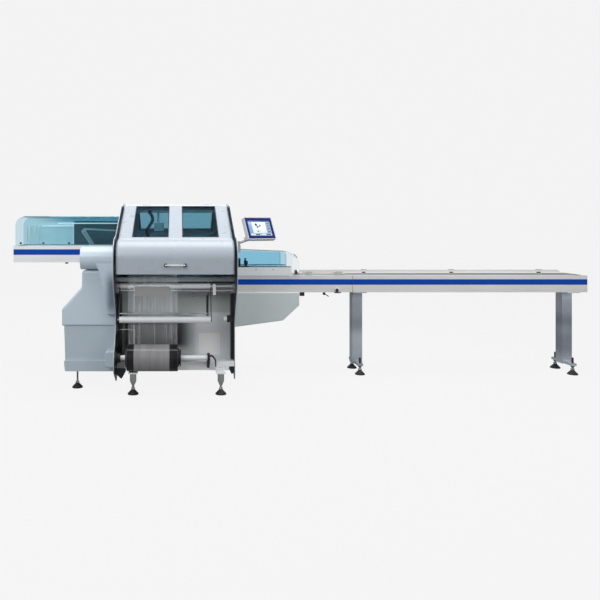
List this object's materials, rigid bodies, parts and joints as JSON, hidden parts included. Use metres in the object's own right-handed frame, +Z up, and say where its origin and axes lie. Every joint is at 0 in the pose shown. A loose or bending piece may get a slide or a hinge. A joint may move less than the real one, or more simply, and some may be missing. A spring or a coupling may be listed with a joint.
{
  "type": "stretch wrapping machine",
  "caption": "Tray stretch wrapper: long belt infeed, lift-up hood over a film bay, raised outfeed under a clear guard, swivelling operator panel.",
  "frame": {"origin": "on the floor under the middle of the whole line", "axes": "+X along the line towards the infeed end, +Y away from the operator, +Z up"},
  "size_m": [5.198, 1.496, 1.5545],
  "materials": {
    "housing_paint": "satin",
    "hood_paint": "satin",
    "sill_grey": "satin",
    "bay_grey": "satin",
    "bay_dark": "matte",
    "rail_aluminium": "brushed",
    "stripe_blue": "gloss",
    "steel": "brushed",
    "black_plastic": "matte",
    "pad_rubber": "matte",
    "belt": "matte",
    "film": "gloss",
    "window_tint": "gloss",
    "cover_tint": "gloss",
    "liner": "gloss",
    "panel_shell": "satin",
    "screen": "gloss"
  },
  "bodies": {
    "machine": {"left_side_wall": "housing_paint", "right_side_wall": "housing_paint", "base_tray": "sill_grey", "rear_enclosure": "housing_paint", "rear_windows": "window_tint", "folding_deck": "bay_grey", "gripper_beam": "rail_aluminium", "cable_chain": "black_plastic", "bay_panels": "bay_grey", "bay_channels": "bay_dark", "toe_brackets": "bay_dark", "bay_bearings": "steel", "film_web": "film", "reel_latch": "black_plastic", "brake_block": "black_plastic", "brake_knob": "sill_grey", "feed_roller": "steel", "upper_left_cover": "housing_paint", "lower_left_cover": "housing_paint", "elbow_fairing": "housing_paint", "foot_sockets": "steel", "foot_spindles": "steel", "foot_pads": "pad_rubber", "outfeed_frame": "rail_aluminium", "outfeed_belt": "belt", "outfeed_cover": "cover_tint", "outlet_liner": "liner", "heater_housing": "bay_dark", "press_frame": "steel", "infeed_frame": "rail_aluminium", "infeed_belt": "belt", "belt_rollers": "steel", "blue_stripes": "stripe_blue", "infeed_guard_rails": "sill_grey", "infeed_cover": "cover_tint", "infeed_drive_housing": "sill_grey", "guide_rails": "rail_aluminium", "black_grips": "black_plastic", "line_fittings": "black_plastic", "sensor_disc": "sill_grey", "conveyor_legs": "rail_aluminium"},
    "hood": {"hood_shell": "hood_paint", "hood_windows": "window_tint", "hood_handle": "steel"},
    "film_reel": {"reel_shaft": "steel", "film_roll": "film", "reel_flanges": "black_plastic"},
    "upper_roller": {"upper_roller": "steel"},
    "dancer": {"dancer_frame": "steel", "dancer_arms": "bay_dark"},
    "dancer_roller": {"dancer_roller": "steel"},
    "panel_arm": {"panel_arm": "panel_shell"},
    "operator_panel": {"operator_panel": "panel_shell", "panel_screen": "screen"}
  },
  "joints": [
    {"name": "hood_hinge", "type": "hinge", "parent": "machine", "child": "hood", "pos_m": [-1.13, 0.256, 1.548], "axis": [-1, 0, 0], "range_deg": [0, 70]},
    {"name": "reel_spin", "type": "hinge", "parent": "machine", "child": "film_reel", "pos_m": [-1.13, -0.59, 0.292], "axis": [1, 0, 0], "continuous": true},
    {"name": "upper_roller_spin", "type": "hinge", "parent": "machine", "child": "upper_roller", "pos_m": [-1.13, -0.5, 0.857], "axis": [1, 0, 0], "continuous": true},
    {"name": "dancer_swing", "type": "hinge", "parent": "machine", "child": "dancer", "pos_m": [-1.13, -0.47, 0.82], "axis": [-1, 0, 0], "range_deg": [0, 30]},
    {"name": "dancer_roller_spin", "type": "hinge", "parent": "dancer", "child": "dancer_roller", "pos_m": [-1.13, -0.575, 0.594], "axis": [1, 0, 0], "continuous": true},
    {"name": "panel_swivel", "type": "hinge", "parent": "machine", "child": "panel_arm", "pos_m": [-0.618, -0.485, 1.207], "axis": [0, 0, 1], "range_deg": [-15, 45]},
    {"name": "panel_tilt", "type": "hinge", "parent": "panel_arm", "child": "operator_panel", "pos_m": [-0.53221, -0.53993, 1.25536], "axis": [0.891, 0.454, 0], "range_deg": [-10, 20]}
  ]
}
